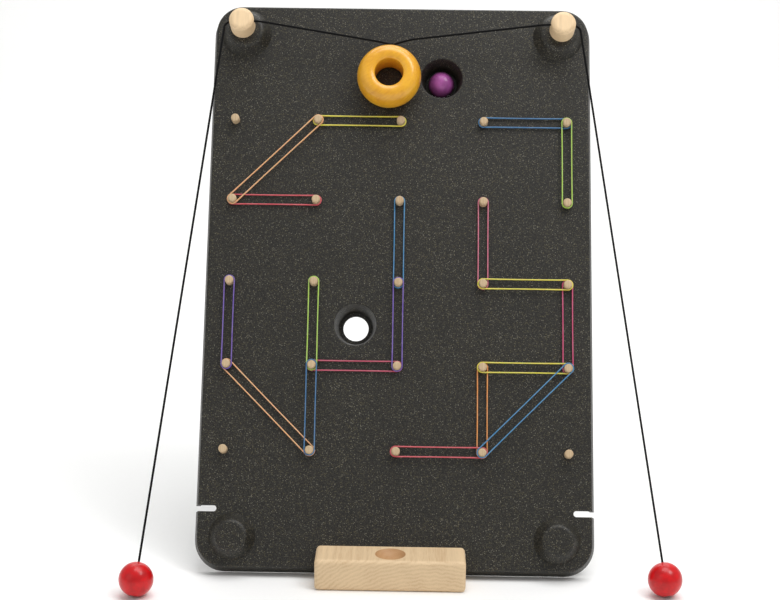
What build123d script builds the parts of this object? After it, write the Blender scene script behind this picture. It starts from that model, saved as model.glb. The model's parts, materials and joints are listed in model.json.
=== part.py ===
from build123d import *
from math import cos, pi, radians, sin, sqrt, tan
import os

# A cord-hauled ring and ball game: a moulded board with a 5 x 5 grid of wooden pegs, walls of rubber
# bands stretched between pegs, two cups, and a wooden ring hauled by two cords over two corner posts.
# The board leans back in the groove of a wooden stand. Millimetres; +Z up; the player sits at -Y.
# The origin is the middle of the stand's underside.

# Stand
stand_width = 108.0
stand_depth = 165.0
stand_height = 23.0
stand_front = 29.5          # how far the stand shows in front of the board's face
dish_diameter = 21.7
dish_sphere = 14.0
groove_depth = 4.0
edge_round = 3.0

# Board
lean = 66.0                 # slope of the board, from horizontal
peg_pitch = 63.5
board_width = 288.0
board_top = 219.5           # from the middle peg to the face's top edge
board_bottom = 212.5        # from the middle peg to the face's bottom edge
corner_radius = 20.0
skirt_depth = 12.5
skirt_draft = 2.8           # how far the skirt spreads outwards
wall = 3.0
face_round = 1.6
foot_line = 196.0           # from the middle peg down to where the stand's top meets the face
notch_gap = 0.5
notch_offset = -2.5         # of the notch and the stand from the board's middle

# Corner domes and posts
top_dome = (120.7, 197.2)
top_dome_radius = 20.0
bottom_dome = (118.5, -190.5)
bottom_dome_radius = 18.0
dome_slope = 7.0            # how far a dome narrows from its base to its flat
dome_height = 10.0
dome_round = 4.0
post_x = 123.0
post_y = 199.5
post_radius = 9.5
post_height = 17.0
post_edge_round = 4.0
cord_hole_height = 11.5     # above the dome's flat
cord_hole_radius = 1.8
screw_radius = 1.6
screw_length = 9.0
screw_head_radius = 3.4
screw_head_height = 2.2
screw_head_round = 1.2
screw_cross = (4.2, 0.9, 1.1)   # length, width and depth of the driver's cross

# Pegs and bands
peg_radius = 3.175
peg_proud = 6.8
peg_buried = 9.0
peg_boss_radius = 5.6
peg_boss_depth = 10.0
peg_round = 1.4
fit_gap = 0.05
band_thickness = 1.0
band_height = 1.3
band_levels = (1.6, 3.2, 4.8)

# Cups
cup_radius = 16.0
cup_floor_radius = 12.2
cup_depth = 18.0
cup_wall = 2.5
cup_hole_radius = 9.6
cup_rim_round = 1.0
goal_cup = (31.0, 162.7)
trap_cup = (-peg_pitch / 2, -peg_pitch / 2)

# Cord parking slots
slot_end = 130.5            # from the board's middle to the slot's round end
slot_length = 24.0
slot_height = 4.5
slot_y = -170.3

# Ring, balls and cords
ring_centre = (-9.5, 159.5)
ring_section_radius = 9.0
ring_section_centre = 15.5
ring_half_thickness = 12.0
ring_hole_radius = 10.85
ring_bore_round = 1.5
ring_cord_hole_radius = 2.2
ring_lift = 12.4            # of the ring's middle above the face
junction_offset = 1.5       # of the cords' knot to the right of the ring's middle
junction_rise = 0.6         # of the knot above the ring's rim
junction_radius = 1.9
cord_bends = {"left": (-6.0, 1.9), "right": (12.5, 4.2)}
goal_ball_radius = 10.0
pull_ball_radius = 12.25
left_ball = (-178.5, -96.4, pull_ball_radius)
right_ball = (195.5, -80.8, pull_ball_radius)
ball_bore_radius = 1.4
ball_pocket_radius = 3.4
ball_pocket_depth = 6.5
knot_radius = 2.4
knot_sunk = 1.5             # how deep a ball's knot sits in its pocket
touch_gap = 0.1             # left between pieces that only touch
inner_lead = 12.0           # the cord runs straight this far on the ring's side of its post
outer_lead = 12.5           # and this far on the other side
cord_radius = 0.8

foot_y = -stand_depth / 2 + stand_front
face_origin = Vector(
    -notch_offset,
    foot_y + foot_line * cos(radians(lean)),
    stand_height + foot_line * sin(radians(lean)),
)
face_normal = Vector(0, -sin(radians(lean)), cos(radians(lean)))
face = Plane(origin=face_origin, x_dir=(1, 0, 0), z_dir=face_normal)

os.makedirs("parts", exist_ok=True)


def on_board(x, y, height):
    """The world point at x and y on the board's face, raised by height."""
    return face.from_local_coords(Vector(x, y, height))


def save(piece, name):
    piece.part.label = name
    export_step(piece.part, f"parts/{name}.step")


def frustum(x, y, low, high, low_radius, high_radius):
    """A round taper standing on the board between two heights."""
    with BuildPart() as taper:
        for height, radius in ((low, low_radius), (high, high_radius)):
            with BuildSketch(face.offset(height)):
                with Locations((x, y)):
                    Circle(radius)
        loft()
    return taper.part


def tray(near, far, inset):
    """A solid of the board's outline between two depths, spread by the draft and inset all round."""
    with BuildPart() as block:
        for depth in (near, far):
            spread = depth * skirt_draft / skirt_depth - inset
            with BuildSketch(face.offset(-depth)):
                with Locations((0, (board_top - board_bottom) / 2)):
                    RectangleRounded(
                        board_width + 2 * spread,
                        board_top + board_bottom + 2 * spread,
                        corner_radius + spread,
                    )
        loft()
    return block.part


domes = [
    (side * x, y, radius)
    for (x, y), radius in ((top_dome, top_dome_radius), (bottom_dome, bottom_dome_radius))
    for side in (-1, 1)
]
posts = [(-post_x, post_y), (post_x, post_y)]
pegs = [(column, row) for row in range(5) for column in range(5)]


def peg_place(column, row):
    return ((column - 2) * peg_pitch, (2 - row) * peg_pitch)


# Board shell: a drafted tray with hollow corner domes, peg bosses and two open cups.
outward = Axis(face_origin, face_normal)
outer_tray = tray(0, skirt_depth, 0)
inner_tray = tray(wall, skirt_depth + 1, wall)
dome_solids = [frustum(x, y, -wall / 2, dome_height, radius, radius - dome_slope) for x, y, radius in domes]
dome_hollows = [
    frustum(x, y, -wall - 0.5, dome_height - wall, radius - wall + 0.5, radius - dome_slope - wall + 1)
    for x, y, radius in domes
]
cup_solids = [
    frustum(x, y, -cup_depth - cup_wall, -wall / 2, cup_floor_radius + cup_wall, cup_radius + cup_wall)
    for x, y in (goal_cup, trap_cup)
]
cup_hollows = [
    frustum(x, y, -cup_depth, 0.01, cup_floor_radius, cup_radius) for x, y in (goal_cup, trap_cup)
]
with BuildPart() as board_shell:
    add(outer_tray)
    fillet(board_shell.faces().sort_by(outward)[-1].edges(), face_round)
    add(inner_tray, mode=Mode.SUBTRACT)
    for dome_solid in dome_solids:
        add(dome_solid)
    dome_flats = board_shell.faces().filter_by(face).group_by(outward)[-1]
    fillet(dome_flats.edges(), dome_round)
    for cup_solid in cup_solids:
        add(cup_solid)
    for hollow in dome_hollows + cup_hollows:
        add(hollow, mode=Mode.SUBTRACT)
    for x, y in (goal_cup, trap_cup):
        circles = board_shell.edges().filter_by(GeomType.CIRCLE)
        rims = circles.filter_by(lambda edge: abs(edge.radius - cup_radius) < 0.1)
        fillet(rims.sort_by_distance(on_board(x, y, 0))[0], cup_rim_round)
    with BuildSketch(face.offset(-peg_boss_depth)):
        with GridLocations(peg_pitch, peg_pitch, 5, 5):
            Circle(peg_boss_radius)
    extrude(amount=peg_boss_depth - wall / 2)
    with BuildSketch(face.offset(-peg_buried)):
        with GridLocations(peg_pitch, peg_pitch, 5, 5):
            Circle(peg_radius + fit_gap)
    extrude(amount=peg_buried + 1, mode=Mode.SUBTRACT)
    with BuildSketch(face.offset(-cup_depth - cup_wall - 1)):
        with Locations(goal_cup, trap_cup):
            Circle(cup_hole_radius)
    extrude(amount=cup_depth, mode=Mode.SUBTRACT)
    with BuildSketch(face.offset(dome_height - wall - 1)):
        with Locations(*posts):
            Circle(screw_radius + fit_gap)
    extrude(amount=wall + 2, mode=Mode.SUBTRACT)
    with BuildSketch(face.offset(-skirt_depth - 1)):
        notch_height = board_bottom + 2 * skirt_draft - foot_line - groove_depth
        with Locations((notch_offset, -foot_line - groove_depth)):
            Rectangle(stand_width + 2 * notch_gap, notch_height, align=(Align.CENTER, Align.MAX))
        slot_x = slot_end + slot_length / 2
        with Locations((-slot_x, slot_y), (slot_x, slot_y)):
            SlotOverall(slot_length, slot_height)
    extrude(amount=skirt_depth + 2, mode=Mode.SUBTRACT)
save(board_shell, "board_shell")

# Pegs: one turned dowel each, with a rounded top.
for column, row in pegs:
    with BuildPart() as peg:
        with BuildSketch(face.offset(-peg_buried)):
            with Locations(peg_place(column, row)):
                Circle(peg_radius)
        extrude(amount=peg_buried + peg_proud)
        fillet(peg.faces().sort_by(outward)[-1].edges(), peg_round)
    save(peg, f"peg_r{row}_c{column}")

# Rubber bands, each stretched round two pegs: name, first peg, second peg, level.
bands = (
    ("band_yellow_top", (1, 0), (2, 0), 0),
    ("band_peach_corner", (1, 0), (0, 1), 1),
    ("band_coral_upper", (0, 1), (1, 1), 0),
    ("band_blue_top", (3, 0), (4, 0), 0),
    ("band_lime_right", (4, 0), (4, 1), 1),
    ("band_teal_middle", (2, 1), (2, 2), 0),
    ("band_purple_middle", (2, 2), (2, 3), 1),
    ("band_crimson_middle", (1, 3), (2, 3), 0),
    ("band_lime_left", (1, 2), (1, 3), 1),
    ("band_blue_left", (1, 3), (1, 4), 2),
    ("band_peach_lower", (0, 3), (1, 4), 0),
    ("band_purple_left", (0, 2), (0, 3), 1),
    ("band_pink_right", (3, 1), (3, 2), 0),
    ("band_yellow_right", (3, 2), (4, 2), 1),
    ("band_magenta_right", (4, 2), (4, 3), 0),
    ("band_yellow_lower", (3, 3), (4, 3), 1),
    ("band_orange_lower", (3, 3), (3, 4), 0),
    ("band_cyan_lower", (3, 4), (4, 3), 2),
    ("band_coral_lower", (2, 4), (3, 4), 1),
)
for name, first, second, level in bands:
    start = Vector(*peg_place(*first))
    end = Vector(*peg_place(*second))
    span = end - start
    middle = (start + end) / 2
    turn = Vector(1, 0, 0).get_signed_angle(span, Vector(0, 0, 1))
    with BuildPart() as band:
        with BuildSketch(face.offset(band_levels[level] - band_height / 2)):
            with Locations(Location((middle.X, middle.Y, 0), (0, 0, turn))):
                SlotCenterToCenter(span.length, 2 * (peg_radius + fit_gap + band_thickness))
                SlotCenterToCenter(span.length, 2 * (peg_radius + fit_gap), mode=Mode.SUBTRACT)
        extrude(amount=band_height)
    save(band, name)

# Posts: turned wood, cross-bored for the cord and screwed on from behind.
for name, side in (("left_post", -1), ("right_post", 1)):
    with BuildPart() as post:
        with BuildSketch(face.offset(dome_height)):
            with Locations((side * post_x, post_y)):
                Circle(post_radius)
        extrude(amount=post_height)
        fillet(post.faces().sort_by(outward)[-1].edges(), post_edge_round)
        hole_end = on_board(side * post_x - post_radius, post_y, dome_height + cord_hole_height)
        with BuildSketch(Plane(origin=hole_end, x_dir=face.y_dir, z_dir=(1, 0, 0))):
            Circle(cord_hole_radius)
        extrude(amount=2 * post_radius, mode=Mode.SUBTRACT)
        with BuildSketch(face.offset(dome_height)):
            with Locations((side * post_x, post_y)):
                Circle(screw_radius)
        extrude(amount=screw_length - wall, mode=Mode.SUBTRACT)
    save(post, name)

with BuildPart() as post_screws:
    screw_seat = face.offset(dome_height - wall)
    with BuildSketch(screw_seat):
        with Locations(*posts):
            Circle(screw_radius)
    extrude(amount=screw_length)
    with BuildSketch(screw_seat):
        with Locations(*posts):
            Circle(screw_head_radius)
    extrude(amount=-screw_head_height)
    fillet(post_screws.faces().group_by(outward)[0].edges(), screw_head_round)
    cross_length, cross_width, cross_depth = screw_cross
    with BuildSketch(screw_seat.offset(-screw_head_height)):
        with Locations(*posts):
            Rectangle(cross_length, cross_width)
            Rectangle(cross_width, cross_length)
    extrude(amount=cross_depth, mode=Mode.SUBTRACT)
save(post_screws, "post_screws")

# Stand: a plank through the notch, with a groove for the board and a dish that parks a ball.
with BuildPart() as stand_block:
    with BuildSketch(Plane.XY):
        Rectangle(stand_width, stand_depth)
    extrude(amount=stand_height)
    fillet(stand_block.edges(), edge_round)
    with BuildSketch(face.offset(-wall - 4 * fit_gap)):
        groove_bottom = -foot_line - groove_depth - 4 * fit_gap
        with Locations((notch_offset, groove_bottom)):
            Rectangle(stand_width + 2, 5 * groove_depth, align=(Align.CENTER, Align.MIN))
    extrude(amount=wall + 8 * fit_gap, mode=Mode.SUBTRACT)
    dish_reach = sqrt(dish_sphere**2 - (dish_diameter / 2) ** 2)
    with Locations((0, foot_y - stand_front / 2, stand_height + dish_reach)):
        Sphere(dish_sphere, mode=Mode.SUBTRACT)
save(stand_block, "stand_block")

# Ring: a turned doughnut with a straight bore and a blind radial hole that the cords enter.
ring_top = ring_centre[1] + ring_section_centre + ring_section_radius
junction = (ring_centre[0] + junction_offset, ring_top + junction_rise, ring_lift)
with BuildPart() as maze_ring:
    ring_axis_point = on_board(ring_centre[0], ring_centre[1], ring_lift)
    with BuildSketch(Plane(origin=ring_axis_point, x_dir=(1, 0, 0), z_dir=-face.y_dir)):
        with Locations((ring_section_centre, 0)):
            Ellipse(ring_section_radius, ring_half_thickness)
        with Locations((ring_hole_radius, 0)):
            edge_out = (Align.MAX, Align.CENTER)
            Rectangle(ring_hole_radius, 3 * ring_half_thickness, align=edge_out, mode=Mode.SUBTRACT)
    revolve(axis=Axis(ring_axis_point, face_normal), revolution_arc=360)
    fillet(maze_ring.edges().filter_by(GeomType.CIRCLE), ring_bore_round)
    outwards = (on_board(*junction) - ring_axis_point).normalized()
    with BuildSketch(Plane(origin=ring_axis_point + outwards * ring_section_centre, z_dir=outwards)):
        Circle(ring_cord_hole_radius)
    extrude(amount=2 * ring_section_radius, mode=Mode.SUBTRACT)
save(maze_ring, "maze_ring")

with BuildPart() as cord_junction:
    with Locations(on_board(*junction)):
        Sphere(junction_radius)
save(cord_junction, "cord_junction")

with BuildPart() as goal_ball:
    seat_rise = sqrt(goal_ball_radius**2 - cup_hole_radius**2)
    with Locations(on_board(*goal_cup, seat_rise - cup_depth + touch_gap)):
        Sphere(goal_ball_radius)
save(goal_ball, "goal_ball")


def cord_path(points):
    """Straight runs joined by arcs of 0.45 of the shorter run over the tangent of half the turn."""
    radii = []
    for before, corner, after in zip(points, points[1:], points[2:]):
        half_turn = radians((corner - before).get_angle(after - corner)) / 2
        shorter = min((corner - before).length, (after - corner).length)
        radii.append(0.45 * shorter / tan(half_turn))
    print("cord radii", [round(radius, 1) for radius in radii])
    return radii


# Cords: one braided cord each side, from the ring's knot through its post to its pull ball.
for name, side, ball_centre in (("left", -1, left_ball), ("right", 1, right_ball)):
    hole_height = dome_height + cord_hole_height
    in_post = on_board(side * post_x, post_y, hole_height)
    across, along = cord_bends[name]
    bend = on_board(junction[0] + across, junction[1] + along, ring_lift + 0.8)
    away = on_board(*junction) + (bend - on_board(*junction)).normalized() * junction_radius
    inner_points = [in_post, on_board(side * (post_x - inner_lead), post_y, hole_height), bend, away]
    mouth = on_board(side * (post_x + outer_lead), post_y, hole_height)
    ball_point = Vector(*ball_centre)
    haul = (mouth - ball_point).normalized()
    ball_top = ball_point + haul * (pull_ball_radius + touch_gap)
    outer_points = [in_post, mouth, ball_top]
    for part_name, points in (("inner", inner_points), ("outer", outer_points)):
        with BuildPart() as cord:
            with BuildLine() as route:
                FilletPolyline(*points, radius=cord_path(points))
            with BuildSketch(Plane(origin=points[0], z_dir=points[1] - points[0])):
                Circle(cord_radius)
            sweep(path=route.wires()[0])
        length = route.wires()[0].length
        volume_ratio = cord.part.volume / (pi * cord_radius**2 * length)
        print(name, part_name, "length", round(length, 1), "volume ratio", round(volume_ratio, 4))
        save(cord, f"{name}_cord_{part_name}")
    with BuildPart() as pull_ball:
        with Locations(ball_point):
            Sphere(pull_ball_radius)
        with BuildSketch(Plane(origin=ball_point, z_dir=haul)):
            Circle(ball_bore_radius)
        extrude(amount=pull_ball_radius, both=True, mode=Mode.SUBTRACT)
        with BuildSketch(Plane(origin=ball_point - haul * pull_ball_radius, z_dir=haul)):
            Circle(ball_pocket_radius)
        extrude(amount=ball_pocket_depth, mode=Mode.SUBTRACT)
    save(pull_ball, f"{name}_pull_ball")
    with BuildPart() as ball_knot:
        knot_centre = ball_point - haul * (pull_ball_radius - knot_radius - knot_sunk)
        with Locations(knot_centre):
            Sphere(knot_radius)
        with BuildSketch(Plane(origin=knot_centre, z_dir=haul)):
            Circle(cord_radius)
        extrude(amount=(ball_top - knot_centre).length)
    save(ball_knot, f"{name}_ball_knot")
    print(name, "haul direction", tuple(haul), "cord straight", (mouth - ball_top).length)
print("junction", tuple(on_board(*junction)), "goal", tuple(on_board(*goal_cup, 0)))
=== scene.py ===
"""A haul-the-ring ball maze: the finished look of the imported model."""

import json

import bmesh
import bpy
import numpy as np
from bpy.props import FloatProperty, FloatVectorProperty, IntProperty, PointerProperty
from mathutils import Matrix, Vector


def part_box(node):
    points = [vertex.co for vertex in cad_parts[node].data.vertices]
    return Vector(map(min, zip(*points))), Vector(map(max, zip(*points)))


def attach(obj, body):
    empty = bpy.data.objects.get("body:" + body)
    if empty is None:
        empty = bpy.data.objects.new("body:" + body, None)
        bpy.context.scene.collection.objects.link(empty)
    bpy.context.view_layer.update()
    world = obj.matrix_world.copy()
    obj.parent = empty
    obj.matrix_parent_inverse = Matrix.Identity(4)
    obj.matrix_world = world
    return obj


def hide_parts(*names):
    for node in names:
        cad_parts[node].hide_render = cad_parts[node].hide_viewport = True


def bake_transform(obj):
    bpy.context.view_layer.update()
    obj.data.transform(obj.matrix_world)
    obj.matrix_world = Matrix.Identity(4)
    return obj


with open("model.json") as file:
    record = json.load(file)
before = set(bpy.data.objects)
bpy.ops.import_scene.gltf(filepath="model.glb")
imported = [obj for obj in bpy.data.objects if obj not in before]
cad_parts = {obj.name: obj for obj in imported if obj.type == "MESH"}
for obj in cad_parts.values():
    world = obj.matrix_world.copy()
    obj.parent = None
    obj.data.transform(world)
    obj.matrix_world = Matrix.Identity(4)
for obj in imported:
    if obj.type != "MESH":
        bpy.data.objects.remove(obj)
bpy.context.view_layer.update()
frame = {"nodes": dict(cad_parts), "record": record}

bl_info = {
    "name": "Ring Haul Ball Maze",
    "version": (1, 0, 0),
    "blender": (4, 5, 0),
    "location": "View3D > Sidebar > Ball Maze",
    "description": "Builds the cords, bands, pegs and balls of a leaning peg maze, and finishes the rest",
    "category": "Add Mesh",
}

MM = 0.001

# ---------------------------------------------------------------------------------------------
# The board's own frame: x to the player's right, y up the board, height out of its face.

PITCH = 63.5
PEG_ROWS = 5
HOLE = next(m for m in frame["record"]["mounts"] if m["name"] == "trap_hole")
NORMAL = np.array(HOLE["axis"])
RIGHT = np.array([1.0, 0.0, 0.0])
UP = np.cross(NORMAL, RIGHT)
# The mount lies this far under the face, half a pitch to the left of the middle peg and below it.
HOLE_DEPTH = 19.25
CENTRE_PEG = np.array(HOLE["pos_m"]) + (NORMAL * HOLE_DEPTH + (RIGHT + UP) * PITCH / 2) * MM
LEAN = float(np.arctan2(UP[2], UP[1]))


def on_board(x, y, height):
    """The point, in metres, at x and y millimetres on the board's face, raised by height."""
    return CENTRE_PEG + (RIGHT * x + UP * y + NORMAL * height) * MM


def peg_place(column, row):
    """Where a peg stands on the board, in millimetres from the middle peg."""
    middle = PEG_ROWS // 2
    return (column - middle) * PITCH, (middle - row) * PITCH


# The same sizes as the model's, in millimetres.
PEG_RADIUS, PEG_PROUD, PEG_BURIED, FIT_GAP = 3.175, 6.8, 9.0, 0.05
INNER_LEAD, OUTER_LEAD, KNEE = 12.0, 12.5, 10.0
PULL_RADIUS, PULL_BORE, PULL_POCKET, POCKET_DEPTH, KNOT_DEPTH = 12.25, 1.4, 3.4, 6.5, 8.35
GOAL_RADIUS, TOUCH_GAP = 10.0, 0.1
POST_X, POST_Y, CORD_HOLE = 123.0, 199.5, 21.5
RING_X, RING_Y, RING_LIFT = -9.5, 159.5, 12.4
JUNCTION_X, JUNCTION_Y, JUNCTION_RADIUS = RING_X + 1.5, RING_Y + 25.1, 1.9
LASHING_SIZE, STOP_KNOT_SIZE, TETHER_LENGTH = 3.4, 3.8, 8.0
# Where each cord bends towards its post, from the junction, and how far above the ring's middle.
CORD_BENDS = {"left": (-6.0, 1.9), "right": (12.5, 4.2)}
BEND_LIFT = 0.8
GOAL_X, GOAL_Y, GOAL_HEIGHT = 31.0, 162.7, -15.1
DISH_X, DISH_BACK, DISH_RISE, DISH_SPHERE = 0.0, 14.75, 8.85, 14.0
BALLS = {"left": np.array([-0.1785, -0.0964, 0.01225]), "right": np.array([0.1955, -0.0808, 0.01225])}
SIDES = {"left": -1, "right": 1}

# Name, first peg and second peg as (column, row), level on the peg, colour.
BANDS = (
    ("band_yellow_top", (1, 0), (2, 0), 0, "yellow"),
    ("band_peach_corner", (1, 0), (0, 1), 1, "peach"),
    ("band_coral_upper", (0, 1), (1, 1), 0, "coral"),
    ("band_blue_top", (3, 0), (4, 0), 0, "blue"),
    ("band_lime_right", (4, 0), (4, 1), 1, "lime"),
    ("band_teal_middle", (2, 1), (2, 2), 0, "teal"),
    ("band_purple_middle", (2, 2), (2, 3), 1, "purple"),
    ("band_crimson_middle", (1, 3), (2, 3), 0, "crimson"),
    ("band_lime_left", (1, 2), (1, 3), 1, "lime"),
    ("band_blue_left", (1, 3), (1, 4), 2, "blue"),
    ("band_peach_lower", (0, 3), (1, 4), 0, "peach"),
    ("band_purple_left", (0, 2), (0, 3), 1, "purple"),
    ("band_pink_right", (3, 1), (3, 2), 0, "pink"),
    ("band_yellow_right", (3, 2), (4, 2), 1, "yellow"),
    ("band_magenta_right", (4, 2), (4, 3), 0, "magenta"),
    ("band_yellow_lower", (3, 3), (4, 3), 1, "yellow"),
    ("band_orange_lower", (3, 3), (3, 4), 0, "orange"),
    ("band_cyan_lower", (3, 4), (4, 3), 2, "teal"),
    ("band_coral_lower", (2, 4), (3, 4), 1, "coral"),
)
# Heights above the board's face and sag of the straights in millimetres; the rest has no unit.
BAND_LEVELS = (1.6, 3.2, 4.8)
BAND_SAG, BAND_THINNING, SECTION_POWER = 0.12, 0.12, 0.55
RUBBER = {
    "yellow": "#dcd03a",
    "peach": "#e6ac74",
    "coral": "#cd3f4d",
    "blue": "#0e6498",
    "lime": "#a5ca46",
    "teal": "#1a78aa",
    "purple": "#6445a6",
    "crimson": "#c03c5c",
    "pink": "#c8607a",
    "magenta": "#c6386c",
    "orange": "#e08e36",
}


# ---------------------------------------------------------------------------------------------
# Sizes and colours that a user would change


def linear(text):
    """An sRGB hex colour as linear red, green, blue and alpha."""
    parts = [int(text[i : i + 2], 16) / 255 for i in (1, 3, 5)]
    return tuple(c / 12.92 if c <= 0.04045 else ((c + 0.055) / 1.055) ** 2.4 for c in parts) + (1.0,)


def colour_property(name, description, text):
    """A colour setting whose default is an sRGB hex colour."""
    return FloatVectorProperty(
        name=name, description=description, subtype="COLOR", size=4, min=0, max=1, default=linear(text)
    )


class MazeBoardSettings(bpy.types.PropertyGroup):
    shell: colour_property("Shell", "Dark body of the moulded plastic", "#181611")
    speck: colour_property("Speck", "Pale mineral speck in the plastic", "#7d796c")
    straw: colour_property("Straw speck", "Duller yellowish speck", "#5a533c")
    speck_size: FloatProperty(
        name="Speck size", description="Distance between specks, mm", default=0.95, min=0.3, max=5
    )


class MazeWoodSettings(bpy.types.PropertyGroup):
    beech: colour_property("Beech", "Pale wood between the rings", "#d8bd97")
    beech_dark: colour_property("Late wood", "Darker wood of the growth rings", "#c4a27a")
    ring: colour_property("Ring stain", "Yellow stain of the ring", "#eeb12a")
    ring_dark: colour_property("Ring stain, deep", "Stain where it pools in the grain", "#d8951c")
    red: colour_property("Red lacquer", "Pull balls", "#d20b13")
    purple: colour_property("Purple lacquer", "Playing ball", "#b05aa4")


class MazeSoftSettings(bpy.types.PropertyGroup):
    cord_radius: FloatProperty(
        name="Cord radius", description="Radius of the braided cord, mm", default=0.8, min=0.3, max=3
    )
    braid_pitch: FloatProperty(
        name="Braid pitch", description="Length of one turn of a strand, mm", default=4.0, min=1, max=20
    )
    band_width: FloatProperty(
        name="Band width", description="Height of a rubber band on its peg, mm", default=1.3, min=0.3, max=3
    )
    band_thickness: FloatProperty(
        name="Band thickness", description="Thickness of a rubber band, mm", default=1.0, min=0.2, max=3
    )
    cord: colour_property("Cord", "Black polyester braid", "#060607")


class MazeStageSettings(bpy.types.PropertyGroup):
    floor: colour_property("Floor", "Pale studio floor", "#f9f9f8")
    light: FloatProperty(
        name="Key light", description="Power of the key light", subtype="POWER", default=11.0, min=0
    )
    turn_steps: IntProperty(
        name="Turn steps", description="Faces round a turned ball", default=96, min=16, max=256
    )


# ---------------------------------------------------------------------------------------------
# Surfaces


def link_object(name, data):
    """Puts a new object that holds the data into the scene."""
    made = bpy.data.objects.new(name, data)
    bpy.context.scene.collection.objects.link(made)
    return made


def grid_mesh(name, points, close_rows=False, close_columns=True, uv=None):
    """A mesh over a grid of points: rows run along the first axis and columns along the second.

    Face (i, j) joins points (i, j), (i, j+1), (i+1, j+1) and (i+1, j); a closed direction wraps
    round to its first row or column. uv, where given, is the step of U from row to row and of V from
    column to column, and both run on past the wrap. Points at one place are merged, so poles close.
    """
    rows, columns = points.shape[:2]
    i, j = np.meshgrid(
        np.arange(rows if close_rows else rows - 1),
        np.arange(columns if close_columns else columns - 1),
        indexing="ij",
    )
    corners_i = np.stack([i, i, i + 1, i + 1], -1).reshape(-1)
    corners_j = np.stack([j, j + 1, j + 1, j], -1).reshape(-1)
    loops = (corners_i % rows) * columns + corners_j % columns
    mesh = bpy.data.meshes.new(name)
    mesh.vertices.add(rows * columns)
    mesh.vertices.foreach_set("co", points.reshape(-1).astype(np.float32))
    mesh.loops.add(len(loops))
    mesh.loops.foreach_set("vertex_index", loops.astype(np.int32))
    mesh.polygons.add(len(loops) // 4)
    mesh.polygons.foreach_set("loop_start", np.arange(0, len(loops), 4, dtype=np.int32))
    mesh.polygons.foreach_set("use_smooth", np.ones(len(loops) // 4, dtype=bool))
    if uv is not None:
        layer = mesh.uv_layers.new(name="UVMap")
        values = np.stack([corners_i * uv[0], corners_j * uv[1]], -1)
        layer.data.foreach_set("uv", values.reshape(-1).astype(np.float32))
    mesh.update(calc_edges=True)
    work = bmesh.new()
    work.from_mesh(mesh)
    bmesh.ops.remove_doubles(work, verts=work.verts, dist=1e-6)
    bmesh.ops.recalc_face_normals(work, faces=work.faces)
    work.to_mesh(mesh)
    work.free()
    return link_object(name, mesh)


def across(axis):
    """Two unit directions square to an axis and to each other."""
    axis = np.asarray(axis, float) / np.linalg.norm(axis)
    start = RIGHT if abs(axis @ RIGHT) < 0.9 else UP
    side = np.cross(axis, start)
    side /= np.linalg.norm(side)
    return np.cross(side, axis), side, axis


def turned(name, profile, centre, axis, steps=None, close_profile=False):
    """A turned piece: every profile point, (radius, height) in mm, is carried round the axis.

    Point (k, a) is centre + axis * height_k + radius_k * (first * cos a + second * sin a).
    """
    steps = steps or bpy.context.scene.maze_stage.turn_steps
    first, second, axis = across(axis)
    angle = np.linspace(0, 2 * np.pi, steps, endpoint=False)
    spokes = np.outer(np.cos(angle), first) + np.outer(np.sin(angle), second)
    profile = np.asarray(profile, float) * MM
    points = centre + profile[:, 1, None, None] * axis + profile[:, 0, None, None] * spokes
    return grid_mesh(name, points, close_rows=close_profile)


def arc(centre, radius, start, end, steps):
    """Points, (radius, height), on an arc of the profile plane between two angles in degrees."""
    angle = np.radians(np.linspace(start, end, steps))
    return np.stack([centre[0] + radius * np.cos(angle), centre[1] + radius * np.sin(angle)], -1)


def route_line(points, resolution):
    """Points along the NURBS curve whose control points are the route's, in metres."""
    data = bpy.data.curves.new("route", "CURVE")
    data.dimensions = "3D"
    spline = data.splines.new("NURBS")
    spline.points.add(len(points) - 1)
    for point, place in zip(spline.points, points):
        point.co = (*place, 1.0)
    spline.order_u = 3
    spline.use_endpoint_u = True
    spline.resolution_u = resolution
    holder = link_object("route", data)
    bpy.context.view_layer.update()
    line = bpy.data.meshes.new_from_object(holder.evaluated_get(bpy.context.evaluated_depsgraph_get()))
    places = np.zeros(len(line.vertices) * 3)
    line.vertices.foreach_get("co", places)
    bpy.data.objects.remove(holder)
    bpy.data.curves.remove(data)
    bpy.data.meshes.remove(line)
    return places.reshape(-1, 3)


def even_line(line, spacing):
    """The same line with its points a spacing apart, and how far along it each of them lies."""
    length = np.concatenate([[0], np.cumsum(np.linalg.norm(np.diff(line, axis=0), axis=1))])
    places = np.linspace(0, length[-1], max(2, int(length[-1] / spacing)))
    return np.stack([np.interp(places, length, line[:, k]) for k in range(3)], -1), places


def braided_tube(name, line, radius, pitch):
    """A braided cord along a line: a tube whose radius swells where strands pass over.

    At length s and angle a the radius is r * (1 + 0.09 * cos(4a + t) * cos(4a - t)), with
    t = 2 pi s / pitch, the product of two sets of strands wound opposite ways. The ends are capped.
    """
    line, length = even_line(line, pitch / 7)
    along = np.gradient(line, axis=0)
    along /= np.linalg.norm(along, axis=1)[:, None]
    first = np.cross(along, NORMAL + 0.3 * RIGHT)
    first /= np.linalg.norm(first, axis=1)[:, None]
    second = np.cross(along, first)
    sides = 24
    angle = np.linspace(0, 2 * np.pi, sides, endpoint=False)
    turn = 2 * np.pi * length[:, None] / pitch
    strands = np.cos(4 * angle + turn) * np.cos(4 * angle - turn)
    swell = radius * (1 + 0.09 * strands)
    spokes = first[:, None] * np.cos(angle)[:, None] + second[:, None] * np.sin(angle)[:, None]
    points = line[:, None] + spokes * swell[:, :, None]
    cap = [np.repeat(line[[0]][:, None], sides, 1), points, np.repeat(line[[-1]][:, None], sides, 1)]
    made = grid_mesh(name, np.concatenate(cap), uv=(1 / 7, 1 / sides))
    return made, line


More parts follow.
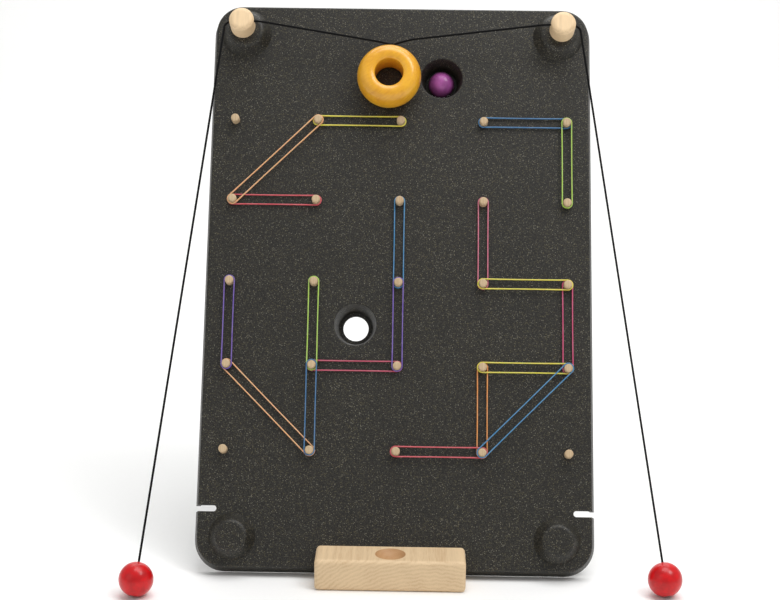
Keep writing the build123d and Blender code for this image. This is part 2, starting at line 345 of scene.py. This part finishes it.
def knot_line(centre, axis, size, steps=160):
    """A trefoil, the line of an overhand knot pulled tight, about size across.

    At t it is (sin t + 2 sin 2t, cos t - 2 cos 2t, -1.4 sin 3t), scaled to size and turned to axis.
    """
    t = np.linspace(0, 2 * np.pi, steps, endpoint=False)
    flat = np.stack([np.sin(t) + 2 * np.sin(2 * t), np.cos(t) - 2 * np.cos(2 * t), -1.4 * np.sin(3 * t)], -1)
    return centre + flat * (size / 6) @ np.stack(across(axis))


def closed_tube(name, line, radius, sides=16):
    """A round tube along a closed line: its frame is the line's own direction and its bend."""
    along = np.roll(line, -1, 0) - np.roll(line, 1, 0)
    along /= np.linalg.norm(along, axis=1)[:, None]
    out = line - line.mean(0)
    first = out - (out * along).sum(1)[:, None] * along
    first /= np.linalg.norm(first, axis=1)[:, None]
    second = np.cross(along, first)
    angle = np.linspace(0, 2 * np.pi, sides, endpoint=False)[:, None]
    points = line[:, None] + radius * (first[:, None] * np.cos(angle) + second[:, None] * np.sin(angle))
    return grid_mesh(name, points, close_rows=True, uv=(0.5, 1 / sides))


# ---------------------------------------------------------------------------------------------
# Materials


NOISE, RAMP, BUMP = "ShaderNodeTexNoise", "ShaderNodeValToRGB", "ShaderNodeBump"
MATHS, MIX, PLACE = "ShaderNodeMath", "ShaderNodeMix", "ShaderNodeTexCoord"


def output_of(value):
    """A node stands for its first output; anything else is itself."""
    return value.outputs[0] if isinstance(value, bpy.types.Node) else value


def add_node(material, kind, inputs=(), stops=(), interpolation="LINEAR", **settings):
    """Adds a node, gives it its settings, and sets or links each of its inputs.

    stops are the (position, colour) pairs of a colour ramp.
    """
    tree = material.node_tree
    made = tree.nodes.new(kind)
    for key, value in settings.items():
        setattr(made, key, value)
    for key, value in dict(inputs).items():
        value = output_of(value)
        if isinstance(value, bpy.types.NodeSocket):
            tree.links.new(value, made.inputs[key])
        else:
            made.inputs[key].default_value = value
    if stops:
        made.color_ramp.interpolation = interpolation
        while len(made.color_ramp.elements) < len(stops):
            made.color_ramp.elements.new(0.5)
        for element, (place, colour) in zip(made.color_ramp.elements, stops):
            element.position = place
            element.color = colour
    return made


def new_material(name, **shader):
    """A material with one Principled shader; underscores in a socket's name stand for spaces."""
    material = bpy.data.materials.new(name)
    material.use_nodes = True
    surface = material.node_tree.nodes["Principled BSDF"]
    for key, value in shader.items():
        surface.inputs[key.replace("_", " ")].default_value = value
    return material, surface


def join(material, surface, **sockets):
    """Links outputs to the shader's sockets; underscores in a name stand for spaces."""
    for key, value in sockets.items():
        material.node_tree.links.new(output_of(value), surface.inputs[key.replace("_", " ")])


def grey(value):
    """A linear grey with its alpha."""
    return (value, value, value, 1.0)


def object_place(material, turn=(0, 0, 0), move=(0, 0, 0), scale=(1, 1, 1)):
    """Object coordinates moved, turned and stretched by a Mapping node."""
    place = add_node(material, PLACE).outputs["Object"]
    inputs = {"Vector": place, "Location": move, "Rotation": turn, "Scale": scale}
    return add_node(material, "ShaderNodeMapping", inputs, vector_type="TEXTURE")


def speckled_abs():
    """Moulded ABS with mineral specks: a dull spark-eroded skin with pale and straw grains in it.

    Each Voronoi cell holds one speck, and its random colour decides how pale that speck is. Real
    specks are 0.2 to 0.4 mm; they are drawn up to 0.7 mm so that they show.
    """
    settings = bpy.context.scene.maze_board
    material, surface = new_material("abs_moulded_speckled", Roughness=0.5, IOR=1.46)
    place = object_place(material)
    fine = 1 / (settings.speck_size * MM)
    grain = add_node(
        material, NOISE, {"Vector": place, "Scale": fine * 1.3, "Detail": 2.0, "Roughness": 0.7}
    )
    cells = add_node(material, "ShaderNodeTexVoronoi", {"Vector": place, "Scale": fine, "Randomness": 1.0})
    dark = tuple(c * 0.5 for c in settings.shell[:3]) + (1.0,)
    middle = tuple(0.8 * a + 0.2 * b for a, b in zip(settings.shell, settings.speck))
    skin = [(0.36, dark), (0.5, tuple(settings.shell)), (0.66, middle)]
    body = add_node(material, RAMP, {"Fac": grain}, skin)
    chance = add_node(material, "ShaderNodeSeparateColor", {"Color": cells.outputs["Color"]}).outputs["Red"]
    straw = tuple(settings.straw)
    kinds = [(0.0, tuple(settings.shell)), (0.3, middle), (0.5, straw), (0.84, tuple(settings.speck))]
    grains = add_node(material, RAMP, {"Fac": chance}, kinds, "CONSTANT")
    edge = [(0.26, grey(1)), (0.38, grey(0))]
    spots = add_node(material, RAMP, {"Fac": cells.outputs["Distance"]}, edge)
    spotted = add_node(material, MIX, {"Factor": spots, "A": body, "B": grains}, data_type="RGBA")
    mist = add_node(
        material, NOISE, {"Vector": place, "Scale": 1 / (60 * MM), "Detail": 2.0, "Roughness": 0.55}
    )
    haze = add_node(material, RAMP, {"Fac": mist}, [(0.35, grey(0.85)), (0.65, grey(1.0))])
    final = add_node(
        material,
        MIX,
        {"Factor": 1.0, "A": spotted.outputs["Result"], "B": haze},
        data_type="RGBA",
        blend_type="MULTIPLY",
    )
    rough = add_node(material, RAMP, {"Fac": grain}, [(0.3, grey(0.56)), (0.7, grey(0.42))])
    relief = add_node(material, BUMP, {"Height": grain, "Distance": 0.06 * MM, "Strength": 0.6})
    join(material, surface, Base_Color=final.outputs["Result"], Roughness=rough, Normal=relief)
    return material


def beech(name, turn, growth=2.2, centre=(0, 0, 0), tone=1.0, dish=None):
    """Planed or turned beech, unvarnished: even pale wood, faint growth rings and short dark flecks.

    The grain runs along the turned Z axis through centre, and growth is the width of a ring in mm.
    tone makes the wood paler or darker. dish is the middle and reach, in metres, of a hollow painted darker
    as shade.
    """
    settings = bpy.context.scene.maze_wood
    material, surface = new_material(name, Roughness=0.55, IOR=1.45)
    along = object_place(material, turn=turn, move=centre)
    stretched = add_node(material, "ShaderNodeMapping", {"Vector": along, "Scale": (1.0, 1.0, 0.05)})
    rings = add_node(
        material,
        "ShaderNodeTexWave",
        {
            "Vector": stretched,
            "Scale": 2 * np.pi / (20 * growth * MM),
            "Distortion": 5.0,
            "Detail": 4.0,
            "Detail Scale": 1.6,
        },
        wave_type="RINGS",
        rings_direction="Z",
    ).outputs["Fac"]
    fleck = add_node(
        material, NOISE, {"Vector": stretched, "Scale": 1 / (0.6 * MM), "Detail": 4.0, "Roughness": 0.65}
    )
    cloud = add_node(
        material, NOISE, {"Vector": stretched, "Scale": 1 / (14 * MM), "Detail": 3.0, "Roughness": 0.55}
    )
    total = add_node(material, MATHS, {0: rings, 1: 0.16}, operation="MULTIPLY")
    for part, share in ((fleck, 0.6), (cloud, 0.4)):
        weighed = add_node(material, MATHS, {0: part, 1: share}, operation="MULTIPLY")
        total = add_node(material, MATHS, {0: total, 1: weighed})
    wood = np.array([settings.beech[:3], settings.beech_dark[:3]]) * tone
    pale = tuple(np.minimum(1.12 * wood[0], 1.0))
    stops = [(0.38, pale + (1.0,)), (0.6, tuple(wood[0]) + (1.0,)), (0.85, tuple(wood[1]) + (1.0,))]
    colour = add_node(material, RAMP, {"Fac": total}, stops)
    # Painted shade: the wood inside the dish's hollow is darkened.
    if dish:
        colour = paint_shade_inside(material, colour, *dish)
    rough = add_node(material, RAMP, {"Fac": fleck}, [(0.3, grey(0.5)), (0.7, grey(0.64))])
    relief = add_node(material, BUMP, {"Height": fleck, "Distance": 0.06 * MM, "Strength": 0.5})
    join(material, surface, Base_Color=colour, Roughness=rough, Normal=relief)
    return material


def paint_shade_inside(material, colour, middle, reach):
    """Paints shade: darkens a colour inside the ball of a reach round a middle, both in metres, as the shade
    in a hollow.
    """
    place = add_node(material, PLACE).outputs["Object"]
    ends = {0: place, 1: middle}
    apart = add_node(material, "ShaderNodeVectorMath", ends, operation="DISTANCE").outputs["Value"]
    inside = add_node(
        material,
        "ShaderNodeMapRange",
        {"Value": apart, "From Min": reach * 0.99, "From Max": reach * 1.02, "To Min": 1.0, "To Max": 0.0},
    )
    # The late wood darkened: the colour of the painted shade in the hollow.
    shade_tint = (0.74, 0.5, 0.27)
    shade_colour = tuple(c * k for c, k in zip(bpy.context.scene.maze_wood.beech_dark[:3], shade_tint)) + (1.0,)
    mixed = add_node(material, MIX, {"Factor": inside, "A": colour, "B": shade_colour}, data_type="RGBA")
    return mixed.outputs["Result"]


def stained_ring():
    """Turned wood with yellow stain and wax: satin, with stain pooled in fine grain lines."""
    settings = bpy.context.scene.maze_wood
    material, surface = new_material(
        "maple_stained_waxed", Roughness=0.3, IOR=1.5, Coat_Weight=0.25, Coat_Roughness=0.18
    )
    along = object_place(material, turn=(0.2, 0.9, 0.0), scale=(1.0, 1.0, 9.0))
    streak = add_node(
        material, NOISE, {"Vector": along, "Scale": 1 / (1.6 * MM), "Detail": 5.0, "Roughness": 0.6}
    )
    place = object_place(material)
    cloud = add_node(
        material, NOISE, {"Vector": place, "Scale": 1 / (14 * MM), "Detail": 2.0, "Roughness": 0.55}
    )
    mixed = add_node(material, MATHS, {0: streak, 1: cloud}, operation="MULTIPLY")
    stain = [(0.12, tuple(settings.ring)), (0.42, tuple(settings.ring_dark))]
    colour = add_node(material, RAMP, {"Fac": mixed}, stain)
    rough = add_node(material, RAMP, {"Fac": streak}, [(0.3, grey(0.26)), (0.7, grey(0.38))])
    relief = add_node(material, BUMP, {"Height": streak, "Distance": 0.04 * MM, "Strength": 0.4})
    join(material, surface, Base_Color=colour, Roughness=rough, Normal=relief)
    return material


def lacquer(name, colour, roughness, coat):
    """Sprayed lacquer on a turned wooden ball: deep even colour with faint orange peel."""
    material, surface = new_material(
        name, Roughness=roughness, IOR=1.38, Coat_Weight=coat, Coat_Roughness=0.06
    )
    place = object_place(material)
    cloud = add_node(
        material, NOISE, {"Vector": place, "Scale": 1 / (7 * MM), "Detail": 3.0, "Roughness": 0.55}
    )
    deep = tuple(c * 0.72 for c in colour[:3]) + (1.0,)
    body = add_node(material, RAMP, {"Fac": cloud}, [(0.35, deep), (0.62, tuple(colour))])
    peel = add_node(
        material, NOISE, {"Vector": place, "Scale": 1 / (1.1 * MM), "Detail": 1.0, "Roughness": 0.55}
    )
    relief = add_node(material, BUMP, {"Height": peel, "Distance": 0.02 * MM, "Strength": 0.35})
    join(material, surface, Base_Color=body, Normal=relief)
    return material


def rubber(name, text):
    """Coloured latex cut from a tube: soft sheen, with its upper face painted paler, both as chalky bloom on
    the cut edge and as painted highlight.

    UV's V runs round the section, so its sine is the height within it.
    """
    material, surface = new_material(
        name, Roughness=0.42, IOR=1.52, Subsurface_Weight=0.15, Subsurface_Scale=0.8 * MM
    )
    colour = linear(text)
    # Pale colour for the upper face: chalky bloom together with painted highlight where light falls on the
    # top.
    chalk_and_highlight = tuple(0.82 * c + 0.1 for c in colour[:3]) + (1.0,)
    place = object_place(material)
    bloom = add_node(
        material, NOISE, {"Vector": place, "Scale": 1 / (5 * MM), "Detail": 4.0, "Roughness": 0.7}
    )
    turn = add_node(material, PLACE).outputs["UV"]
    round_section = add_node(material, "ShaderNodeSeparateXYZ", {"Vector": turn}).outputs["Y"]
    angle = add_node(material, MATHS, {0: round_section, 1: 2 * np.pi}, operation="MULTIPLY")
    lift = add_node(material, MATHS, {0: angle}, operation="SINE")
    # The top of the section, by the sine of its height, takes the pale colour: painted highlight and bloom.
    top_highlight_and_bloom = add_node(material, MATHS, {0: lift, 1: bloom}, operation="MULTIPLY")
    body = add_node(material, RAMP, {"Fac": top_highlight_and_bloom}, [(0.24, colour), (0.56, chalk_and_highlight)])
    rough = add_node(material, RAMP, {"Fac": bloom}, [(0.35, grey(0.36)), (0.7, grey(0.52))])
    grain = add_node(
        material, NOISE, {"Vector": place, "Scale": 1 / (0.5 * MM), "Detail": 2.0, "Roughness": 0.55}
    )
    relief = add_node(material, BUMP, {"Height": grain, "Distance": 0.03 * MM, "Strength": 0.4})
    join(material, surface, Base_Color=body, Roughness=rough, Normal=relief)
    return material


def braid():
    """Braided polyester cord: matt black with a faint shine along each filament.

    UV's U grows by one for each turn of a strand, so the noise has 26 filaments to a turn.
    """
    settings = bpy.context.scene.maze_soft
    material, surface = new_material(
        "polyester_braided", Roughness=0.9, IOR=1.25, Sheen_Weight=0.02, Sheen_Roughness=0.5
    )
    flat = add_node(material, PLACE).outputs["UV"]
    fibre = add_node(material, NOISE, {"Vector": flat, "Scale": 26.0, "Detail": 3.0})
    pale = tuple(0.8 * c + 0.006 for c in settings.cord[:3]) + (1.0,)
    body = add_node(material, RAMP, {"Fac": fibre}, [(0.35, tuple(settings.cord)), (0.75, pale)])
    relief = add_node(material, BUMP, {"Height": fibre, "Distance": 0.05 * MM, "Strength": 0.5})
    join(material, surface, Base_Color=body, Normal=relief)
    return material


def zinc():
    """Zinc-plated steel screw: bright grey with faint blotches from the plating bath."""
    material, surface = new_material("steel_zinc_plated", Metallic=1.0)
    place = object_place(material)
    blotch = add_node(
        material, NOISE, {"Vector": place, "Scale": 1 / (1.5 * MM), "Detail": 3.0, "Roughness": 0.55}
    )
    plating = [(0.3, linear("#b9bcbc")), (0.7, linear("#d8d9d2"))]
    colour = add_node(material, RAMP, {"Fac": blotch}, plating)
    rough = add_node(material, RAMP, {"Fac": blotch}, [(0.3, grey(0.28)), (0.7, grey(0.45))])
    join(material, surface, Base_Color=colour, Roughness=rough)
    return material


def finish(piece, material, body=None, stands_for=()):
    """Gives a piece its material and, for a new piece, its body and what it replaces."""
    piece.data.materials.clear()
    piece.data.materials.append(material)
    if body:
        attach(piece, body)
    if stands_for:
        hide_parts(*stands_for)
    return piece


# ---------------------------------------------------------------------------------------------
# Operators


def haul_line(side):
    """Where a side's cord leaves its post, the top of its ball, and the direction up the cord."""
    mouth = on_board(SIDES[side] * (POST_X + OUTER_LEAD), POST_Y, CORD_HOLE)
    direction = mouth - BALLS[side]
    direction /= np.linalg.norm(direction)
    return mouth, BALLS[side] + direction * (PULL_RADIUS + TOUCH_GAP) * MM, direction


class MAZE_OT_camera(bpy.types.Operator):
    """Sets the camera on the player's side, a little above the board's middle"""

    bl_idname = "maze.camera"
    bl_label = "Camera"

    def execute(self, context):
        data = bpy.data.cameras.new("camera")
        data.sensor_width = 36
        data.lens = 73.85
        data.clip_end = 20
        camera = link_object("camera", data)
        place = [0.0105, -1.1526, 0.4446]
        forward = np.array([-0.0117, 0.9773, -0.2116])
        up = np.array([-0.0146, 0.2114, 0.9773])
        right = np.cross(forward, up)
        turn = np.stack([right, np.cross(right, forward), -forward], -1)
        matrix = np.eye(4)
        matrix[:3, :3] = turn / np.linalg.norm(turn, axis=0)
        matrix[:3, 3] = place
        camera.matrix_world = Matrix(matrix)
        context.scene.camera = camera
        return {"FINISHED"}


class MAZE_OT_cords(bpy.types.Operator):
    """Runs the two braided cords from the ring's knot over the posts to the pull balls"""

    bl_idname = "maze.cords"
    bl_label = "Cords"

    def execute(self, context):
        settings = context.scene.maze_soft
        radius = settings.cord_radius * MM
        pitch = settings.braid_pitch * MM
        material = braid()
        knot = on_board(JUNCTION_X, JUNCTION_Y, RING_LIFT)
        for side, sign in SIDES.items():
            in_post = on_board(sign * POST_X, POST_Y, CORD_HOLE)
            leave = on_board(sign * (POST_X - INNER_LEAD), POST_Y, CORD_HOLE)
            across_knot, above_knot = CORD_BENDS[side]
            bend = on_board(JUNCTION_X + across_knot, JUNCTION_Y + above_knot, RING_LIFT + BEND_LIFT)
            run = (leave - bend) / np.linalg.norm(leave - bend)
            end = knot + (bend - knot) / np.linalg.norm(bend - knot) * JUNCTION_RADIUS * MM
            straight = run * INNER_LEAD * MM
            inner = [in_post, leave, leave - straight, bend + straight, bend, end]
            mouth, ball_top, direction = haul_line(side)
            outer = [in_post, mouth, mouth - direction * KNEE * MM, ball_top]
            self.cord(f"{side}_cord_inner", inner, radius, pitch, material, "haul", mouth)
            self.cord(f"{side}_cord_outer", outer, radius, pitch, material, f"{side}_ball", mouth)
        return {"FINISHED"}

    def cord(self, name, points, radius, pitch, material, body, mouth):
        """One length of braid along a route: an inner one goes to the ring, an outer one to a ball."""
        piece, line = braided_tube(name + "_braid", route_line(points, 24), radius, pitch)
        piece.data.materials.append(material)
        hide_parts(name)
        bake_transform(piece)


class MAZE_OT_knots(bpy.types.Operator):
    """Ties the cords at the ring and inside each pull ball"""

    bl_idname = "maze.knots"
    bl_label = "Knots"

    def execute(self, context):
        radius = context.scene.maze_soft.cord_radius * MM
        material = bpy.data.materials["polyester_braided"]
        centre = on_board(JUNCTION_X, JUNCTION_Y, RING_LIFT)
        lashing = closed_tube("cord_junction_knot", knot_line(centre, UP, LASHING_SIZE * MM), radius * 0.8)
        finish(lashing, material, "haul", ["cord_junction"])
        ring_middle = on_board(RING_X, RING_Y, RING_LIFT)
        inwards = (ring_middle - centre) / np.linalg.norm(ring_middle - centre)
        stub = [centre + inwards * share * TETHER_LENGTH * MM for share in (0, 0.5, 1)]
        pitch = context.scene.maze_soft.braid_pitch * MM
        tether, _ = braided_tube("ring_tether_braid", route_line(stub, 12), radius * 1.6, pitch)
        finish(tether, material, "ring")
        for side in SIDES:
            _, top, direction = haul_line(side)
            centre = BALLS[side] - direction * KNOT_DEPTH * MM
            line = route_line([top, BALLS[side], centre], 12)
            tail, _ = braided_tube(f"{side}_ball_tail", line, radius, pitch)
            finish(tail, material, f"{side}_ball", [f"{side}_ball_knot"])
            loops = knot_line(centre, direction, STOP_KNOT_SIZE * MM)
            knot = closed_tube(f"{side}_ball_stop_knot", loops, radius)
            finish(knot, material, f"{side}_ball")
        return {"FINISHED"}


class MAZE_OT_board(bpy.types.Operator):
    """Finishes the moulded board"""

    bl_idname = "maze.board"
    bl_label = "Board"

    def execute(self, context):
        finish(frame["nodes"]["board_shell"], speckled_abs())
        return {"FINISHED"}


class MAZE_OT_pegs(bpy.types.Operator):
    """Turns the 25 dowel pegs, each with a slightly different rounded end"""

    bl_idname = "maze.pegs"
    bl_label = "Pegs"

    def execute(self, context):
        material = beech("beech_turned", (LEAN - np.pi / 2, 0, 0), growth=1.6, tone=0.78)
        foot_in, foot_up, steps = 0.175, 0.2, 40
        for row in range(PEG_ROWS):
            for column in range(PEG_ROWS):
                round_edge = 1.1 + 0.3 * ((3 * row + 5 * column) % 4) / 3
                flat = PEG_RADIUS - round_edge
                profile = np.concatenate(
                    [
                        [[0, -PEG_BURIED], [PEG_RADIUS - foot_in, -PEG_BURIED]],
                        [[PEG_RADIUS, foot_up - PEG_BURIED]],
                        [[PEG_RADIUS, height] for height in np.linspace(-6, 4.5, 8)],
                        arc((flat, PEG_PROUD - round_edge), round_edge, 0, 90, 9),
                        [[flat * 0.5, PEG_PROUD], [0, PEG_PROUD]],
                    ]
                )
                place = on_board(*peg_place(column, row), 0)
                peg = turned(f"peg_r{row}_c{column}_dowel", profile, place, NORMAL, steps)
                finish(peg, material, "board", [f"peg_r{row}_c{column}"])
        return {"FINISHED"}


class MAZE_OT_bands(bpy.types.Operator):
    """Stretches the rubber bands round their pegs"""

    bl_idname = "maze.bands"
    bl_label = "Rubber bands"

    def execute(self, context):
        materials = {colour: rubber(f"latex_{colour}", text) for colour, text in RUBBER.items()}
        for name, first, second, level, colour in BANDS:
            piece = self.band(context, name, peg_place(*first), peg_place(*second), BAND_LEVELS[level])
            finish(piece, materials[colour], "board", [name])
        return {"FINISHED"}

    def band(self, context, name, first, second, level):
        """A loop round two pegs: a section carried along a track of two half circles and two straights.

        At angle a the section is |cos a|^p out and |sin a|^p up, each with the sign of its cosine or
        sine and p = SECTION_POWER. At share s of a straight the band is thinner by BAND_THINNING
        times sin(pi s), as stretched rubber is, and sags inwards by BAND_SAG times the same.
        """
        settings = context.scene.maze_soft
        first, second = np.array(first), np.array(second)
        span = np.linalg.norm(second - first)
        along = (second - first) / span
        side = np.array([-along[1], along[0]])
        middle_radius = PEG_RADIUS + FIT_GAP + settings.band_thickness / 2
        straight = np.linspace(0, 1, 40, endpoint=False)
        half = np.linspace(0, np.pi, 28, endpoint=False)
        pull = np.sin(np.pi * straight)
        track_along = np.concatenate(
            [
                span * (1 - straight),
                -middle_radius * np.sin(half),
                span * straight,
                span + middle_radius * np.sin(half),
            ]
        )
        waist = middle_radius - BAND_SAG * pull
        arc_side = middle_radius * np.cos(half)
        track_side = np.concatenate([waist, arc_side, -waist, -arc_side])
        thin = 1 - BAND_THINNING * np.concatenate([pull, 0 * half, pull, 0 * half])
        tangent = np.stack(
            [
                np.roll(track_along, -1) - np.roll(track_along, 1),
                np.roll(track_side, -1) - np.roll(track_side, 1),
            ],
            -1,
        )
        tangent /= np.linalg.norm(tangent, axis=1)[:, None]
        out = np.stack([-tangent[:, 1], tangent[:, 0]], -1)
        angle = np.linspace(0, 2 * np.pi, 20, endpoint=False)
        section_out = np.sign(np.cos(angle)) * np.abs(np.cos(angle)) ** SECTION_POWER
        section_up = np.sign(np.sin(angle)) * np.abs(np.sin(angle)) ** SECTION_POWER
        reach = section_out * settings.band_thickness / 2
        offset_along = track_along[:, None] + out[:, [0]] * reach * thin[:, None]
        offset_side = track_side[:, None] + out[:, [1]] * reach * thin[:, None]
        height = level + section_up * settings.band_width / 2 * thin[:, None]
        x = first[0] + along[0] * offset_along + side[0] * offset_side
        y = first[1] + along[1] * offset_along + side[1] * offset_side
        flat = CENTRE_PEG + (x[..., None] * RIGHT + y[..., None] * UP + height[..., None] * NORMAL) * MM
        return grid_mesh(name + "_loop", flat, close_rows=True, uv=(1 / 8, 1 / len(angle)))


class MAZE_OT_posts(bpy.types.Operator):
    """Finishes the two posts and their screws"""

    bl_idname = "maze.posts"
    bl_label = "Posts"

    def execute(self, context):
        for side, sign in SIDES.items():
            # The tree's heart lies beside each post, so its rings cross the post as wide arcs.
            heart = tuple(on_board(sign * POST_X + 5, POST_Y - 14, 0))
            upright = (LEAN - np.pi / 2, 0, 0)
            material = beech(f"beech_{side}_post", upright, growth=1.8, centre=heart, tone=1.15)
            finish(frame["nodes"][f"{side}_post"], material)
        finish(frame["nodes"]["post_screws"], zinc())
        return {"FINISHED"}


class MAZE_OT_stand(bpy.types.Operator):
    """Finishes the wooden stand"""

    bl_idname = "maze.stand"
    bl_label = "Stand"

    def execute(self, context):
        low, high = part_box("stand_block")
        dish = (DISH_X * MM, low[1] + DISH_BACK * MM, high[2] + DISH_RISE * MM)
        # The dish's hollow is painted darker here: painted shade.
        material = beech(
            "beech_planed",
            (np.pi / 2, 0, 0),
            growth=2.8,
            centre=(0.03, 0.0, -0.09),
            tone=1.02,
            dish=(dish, DISH_SPHERE * MM),
        )
        finish(frame["nodes"]["stand_block"], material)
        return {"FINISHED"}


class MAZE_OT_ring(bpy.types.Operator):
    """Finishes the yellow ring"""

    bl_idname = "maze.ring"
    bl_label = "Ring"

    def execute(self, context):
        finish(frame["nodes"]["maze_ring"], stained_ring())
        return {"FINISHED"}


class MAZE_OT_balls(bpy.types.Operator):
    """Turns the two red pull balls and the purple playing ball"""

    bl_idname = "maze.balls"
    bl_label = "Balls"

    def execute(self, context):
        settings = context.scene.maze_wood
        red = lacquer("lacquer_red_gloss", tuple(settings.red), 0.3, 0.2)
        purple = lacquer("lacquer_purple_satin", tuple(settings.purple), 0.34, 0.2)
        radius, bore, pocket = PULL_RADIUS, PULL_BORE, PULL_POCKET
        top = np.degrees(np.arccos(bore / radius))
        bottom = -np.degrees(np.arccos(pocket / radius))
        floor = POCKET_DEPTH - radius
        # From the pocket's rim over the ball to the bore, down it to the pocket's floor, and out.
        profile = np.concatenate(
            [
                arc((0, 0), radius, bottom + 1.2, top - 1.0, 72),
                [[bore + 0.05, radius * 0.985], [bore, radius * 0.96], [bore, floor + 0.4], [bore, floor]],
                [[pocket - 0.3, floor], [pocket, floor - 0.3], [pocket, -radius * 0.965 + 0.3]],
            ]
        )
        for side in SIDES:
            _, _, direction = haul_line(side)
            ball = turned(f"{side}_ball_turned", profile, BALLS[side], direction, close_profile=True)
            finish(ball, red, f"{side}_ball", [f"{side}_pull_ball"])
        pole = arc((0, 0), GOAL_RADIUS, -90, 90, 64)
        pole[[0, -1], 0] = 0
        place = on_board(GOAL_X, GOAL_Y, GOAL_HEIGHT)
        ball = turned("goal_ball_turned", pole, place, NORMAL)
        finish(ball, purple, "goal_ball", ["goal_ball"])
        return {"FINISHED"}


class MAZE_OT_stage(bpy.types.Operator):
    """Lays the pale studio floor and its soft lights"""

    bl_idname = "maze.stage"
    bl_label = "Stage"

    def execute(self, context):
        settings = context.scene.maze_stage
        # In metres: a floor that curves up into a wall behind the maze, as a paper roll does.
        width, front, wall, sweep, top = 12, -5.0, 2.5, 1.2, 7.0
        across_floor = np.linspace(-width / 2, width / 2, 3)
        back = np.linspace(0, np.pi / 2, 24)
        run = np.concatenate([[front], wall + sweep * np.sin(back), [wall + sweep]])
        rise = np.concatenate([[0.0], sweep - sweep * np.cos(back), [top]])
        points = np.stack(np.broadcast_arrays(across_floor, run[:, None], rise[:, None]), -1)
        floor = grid_mesh("studio_floor", points, close_columns=False)
        material, surface = new_material("paper_pale", Roughness=0.9)
        place = object_place(material)
        fibre = add_node(
            material, NOISE, {"Vector": place, "Scale": 1 / (3 * MM), "Detail": 3.0, "Roughness": 0.55}
        )
        tint = tuple(settings.floor)
        shade = tuple(c * 0.985 for c in tint[:3]) + (1.0,)
        paper = add_node(material, RAMP, {"Fac": fibre}, [(0.3, shade), (0.7, tint)])
        join(material, surface, Base_Color=paper)
        floor.data.materials.append(material)
        power = settings.light
        self.light("key_light", (1.1, -0.6, 1.9), power * 1.35, 0.8, (0, 0.05, 0.2))
        self.light("fill_light", (-1.4, -1.3, 1.1), power * 0.25, 1.4, (0, 0, 0.18))
        self.light("top_light", (0.15, -0.05, 2.1), power * 1.6, 1.2, (0, 0, 0.1))
        self.light("backdrop_light", (0.0, 2.6, 2.6), power * 4.4, 3.0, (0.0, 2.7, 0.0))
        world = context.scene.world or bpy.data.worlds.new("studio")
        context.scene.world = world
        world.use_nodes = True
        sky = world.node_tree.nodes["Background"]
        sky.inputs["Color"].default_value = (1.0, 1.0, 1.0, 1.0)
        sky.inputs["Strength"].default_value = 0.5
        context.scene.view_settings.view_transform = "Standard"
        return {"FINISHED"}

    def light(self, name, place, power, size, target):
        """An area light at a place that faces its target."""
        data = bpy.data.lights.new(name, "AREA")
        data.energy = power
        data.size = size
        lamp = link_object(name, data)
        lamp.location = place
        away = np.array(place) - np.array(target)
        side = np.cross([0.0, 0.0, 1.0], away)
        side /= np.linalg.norm(side)
        away /= np.linalg.norm(away)
        matrix = np.eye(4)
        matrix[:3, :3] = np.stack([side, np.cross(away, side), away], -1)
        matrix[:3, 3] = place
        lamp.matrix_world = Matrix(matrix)


class MAZE_PT_panel(bpy.types.Panel):
    """Lists the pieces of the maze"""

    bl_idname = "MAZE_PT_panel"
    bl_label = "Ball Maze"
    bl_space_type = "VIEW_3D"
    bl_region_type = "UI"
    bl_category = "Ball Maze"

    def draw(self, context):
        for operator in OPERATORS:
            self.layout.operator(operator.bl_idname)
        for group in SETTINGS:
            box = self.layout.box()
            for name in SETTINGS[group].__annotations__:
                box.prop(getattr(context.scene, group), name)


SETTINGS = {
    "maze_board": MazeBoardSettings,
    "maze_wood": MazeWoodSettings,
    "maze_soft": MazeSoftSettings,
    "maze_stage": MazeStageSettings,
}
OPERATORS = (
    MAZE_OT_camera,
    MAZE_OT_cords,
    MAZE_OT_knots,
    MAZE_OT_board,
    MAZE_OT_pegs,
    MAZE_OT_bands,
    MAZE_OT_posts,
    MAZE_OT_stand,
    MAZE_OT_ring,
    MAZE_OT_balls,
    MAZE_OT_stage,
)


def register():
    for group in SETTINGS.values():
        bpy.utils.register_class(group)
    for kind in (*OPERATORS, MAZE_PT_panel):
        bpy.utils.register_class(kind)
    for name, group in SETTINGS.items():
        setattr(bpy.types.Scene, name, PointerProperty(type=group))


def unregister():
    for name in SETTINGS:
        delattr(bpy.types.Scene, name)
    for kind in (MAZE_PT_panel, *OPERATORS, *SETTINGS.values()):
        bpy.utils.unregister_class(kind)


def main():
    register()
    bpy.ops.maze.camera()
    bpy.ops.maze.cords()
    bpy.ops.maze.knots()
    bpy.ops.maze.board()
    bpy.ops.maze.pegs()
    bpy.ops.maze.bands()
    bpy.ops.maze.posts()
    bpy.ops.maze.stand()
    bpy.ops.maze.ring()
    bpy.ops.maze.balls()
    bpy.ops.maze.stage()


if __name__ == "__main__":
    main()
